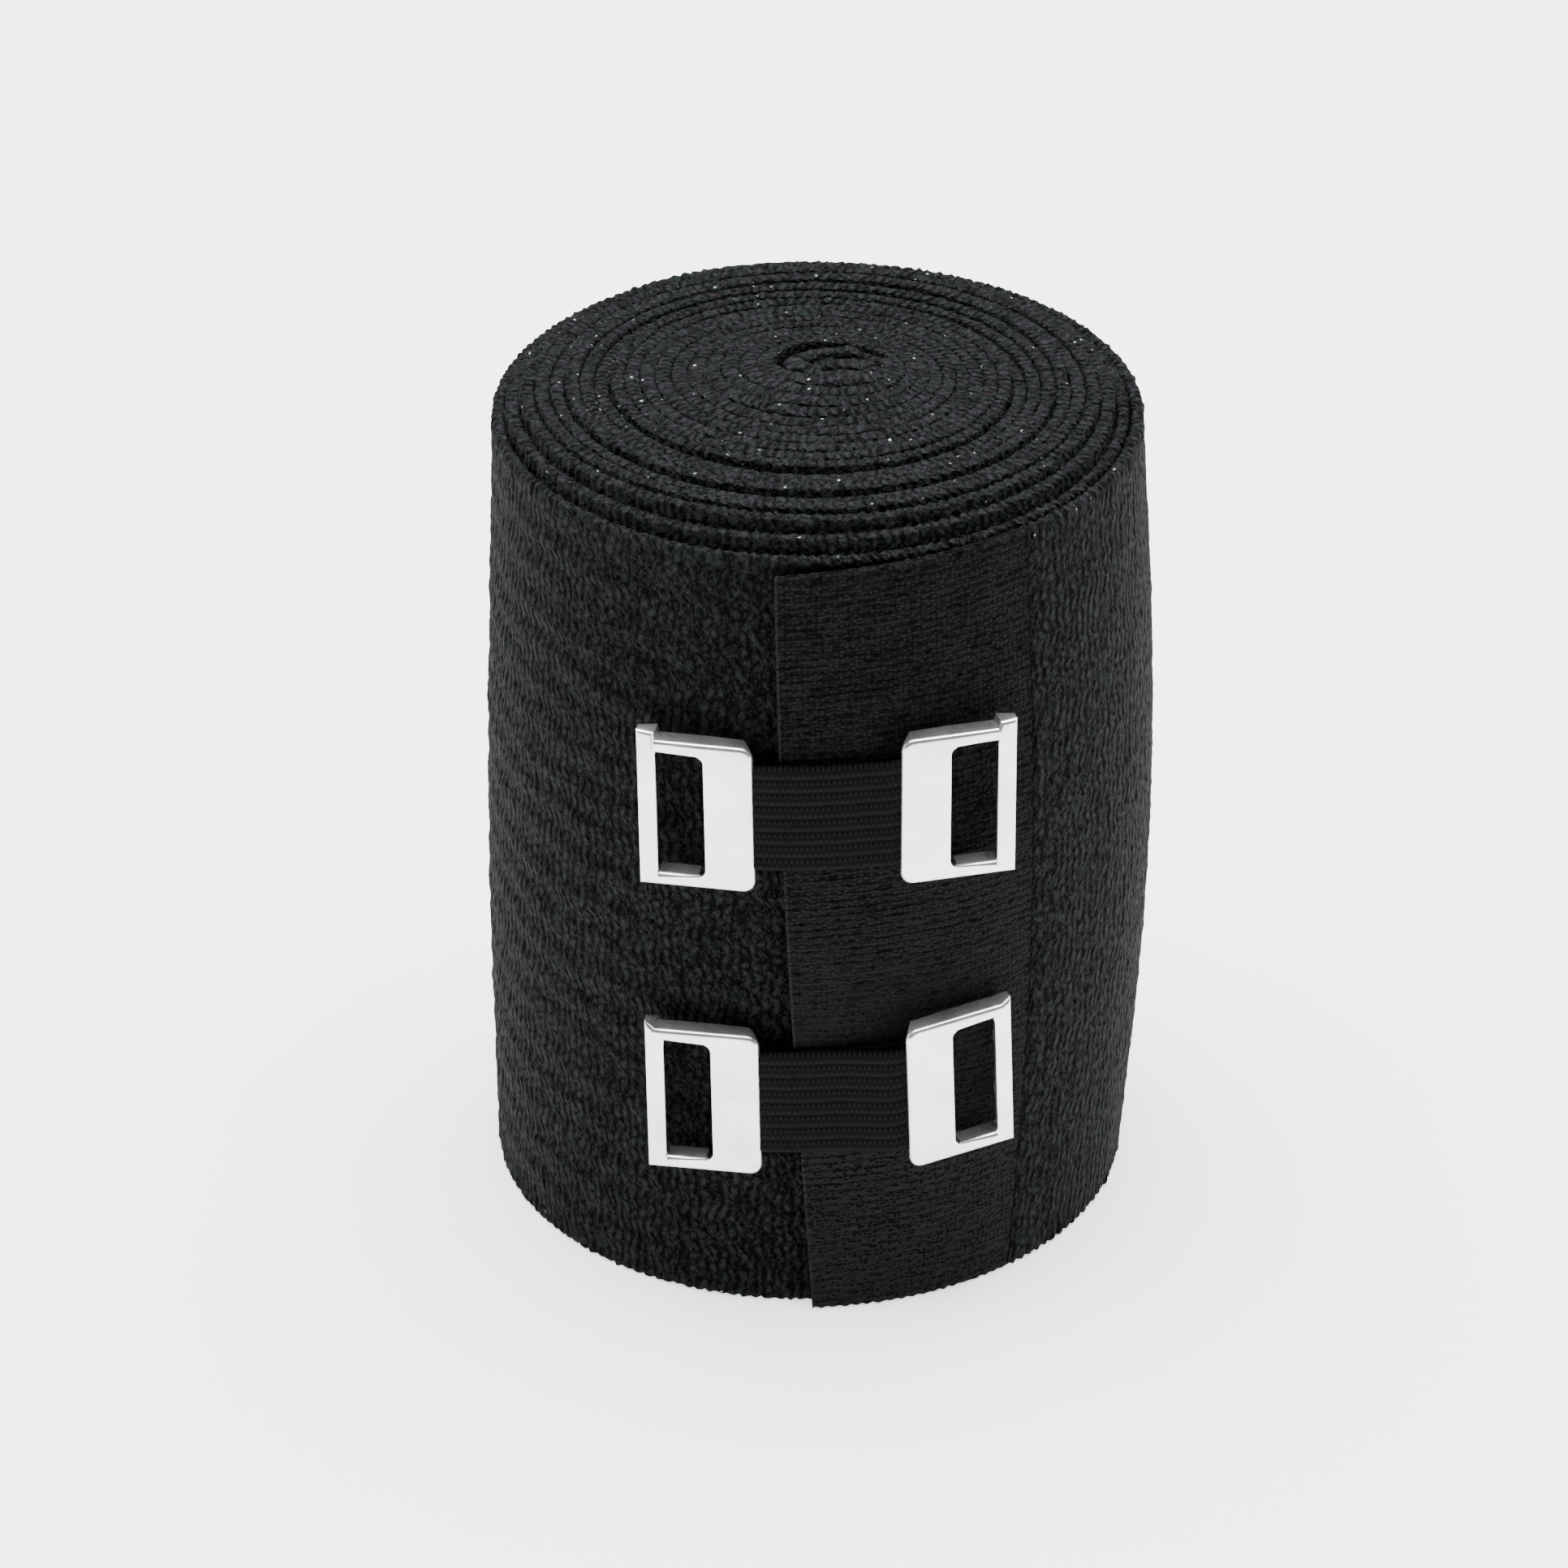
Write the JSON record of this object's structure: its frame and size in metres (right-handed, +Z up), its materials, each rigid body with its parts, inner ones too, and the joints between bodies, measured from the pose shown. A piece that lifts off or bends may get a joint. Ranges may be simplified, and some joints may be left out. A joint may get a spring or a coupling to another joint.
{
  "type": "hand wrap",
  "caption": "Rolled strip of black elastic crepe standing on end, its tail held to the roll by elastic clips with stamped metal plates",
  "frame": {"origin": "middle of the footprint, on the ground that the roll stands on", "axes": "+Z up along the roll's axis, -Y towards the front where the two clips sit, +X to the right as seen from the front"},
  "size_m": [0.0584, 0.0613, 0.0785],
  "materials": {
    "crepe": "matt black elastic crepe, puckered",
    "band_knit": "matt black dense knit in fine rows",
    "thread": "black sewing thread",
    "elastic": "black ribbed elastic braid",
    "aluminium": "bright stamped sheet"
  },
  "bodies": {
    "roll": {"wound_roll": "crepe"},
    "tail_panel": {"tail": "crepe", "seam_thread": "thread"},
    "band": {"end_band": "band_knit"},
    "upper_right_hook": {"upper_right_plate": "aluminium", "upper_strap_right_end": "elastic"},
    "upper_strap_span": {"upper_strap": "elastic"},
    "upper_left_hook": {"upper_left_plate": "aluminium", "upper_strap_left_end": "elastic"},
    "lower_right_hook": {"lower_right_plate": "aluminium", "lower_strap_right_end": "elastic"},
    "lower_strap_span": {"lower_strap": "elastic"},
    "lower_left_hook": {"lower_left_plate": "aluminium", "lower_strap_left_end": "elastic"}
  },
  "joints": [
    {"name": "tail_peel", "type": "hinge", "parent": "roll", "child": "tail_panel", "pos_m": [0.02883, -0.00373, 0.0375], "axis": [0, 0, 1], "range_deg": [0, 45]},
    {"name": "band_peel", "type": "hinge", "parent": "tail_panel", "child": "band", "pos_m": [0.01807, -0.02198, 0.0375], "axis": [0, 0, 1], "range_deg": [0, 70]},
    {"name": "upper_clip_lift", "type": "slide", "parent": "band", "child": "upper_right_hook", "axis": [0.2487, -0.9686, 0], "range_m": [0, 0.012]},
    {"name": "upper_strap_swing", "type": "hinge", "parent": "upper_right_hook", "child": "upper_strap_span", "pos_m": [0.00668, -0.02993, 0.0513], "axis": [0, 0, 1], "range_deg": [0, 110]},
    {"name": "upper_strap_stretch", "type": "slide", "parent": "upper_strap_span", "child": "upper_left_hook", "axis": [-0.9763, 0.2164, 0], "range_m": [0, 0.008], "stiffness_N_per_m": 150, "deforming": ["upper_strap"]},
    {"name": "lower_clip_lift", "type": "slide", "parent": "band", "child": "lower_right_hook", "axis": [0.4352, -0.9003, 0], "range_m": [0, 0.012]},
    {"name": "lower_strap_swing", "type": "hinge", "parent": "lower_right_hook", "child": "lower_strap_span", "pos_m": [0.00743, -0.03081, 0.0226], "axis": [0, 0, 1], "range_deg": [0, 110]},
    {"name": "lower_strap_stretch", "type": "slide", "parent": "lower_strap_span", "child": "lower_left_hook", "axis": [-0.9816, 0.1908, 0], "range_m": [0, 0.008], "stiffness_N_per_m": 150, "deforming": ["lower_strap"]}
  ]
}
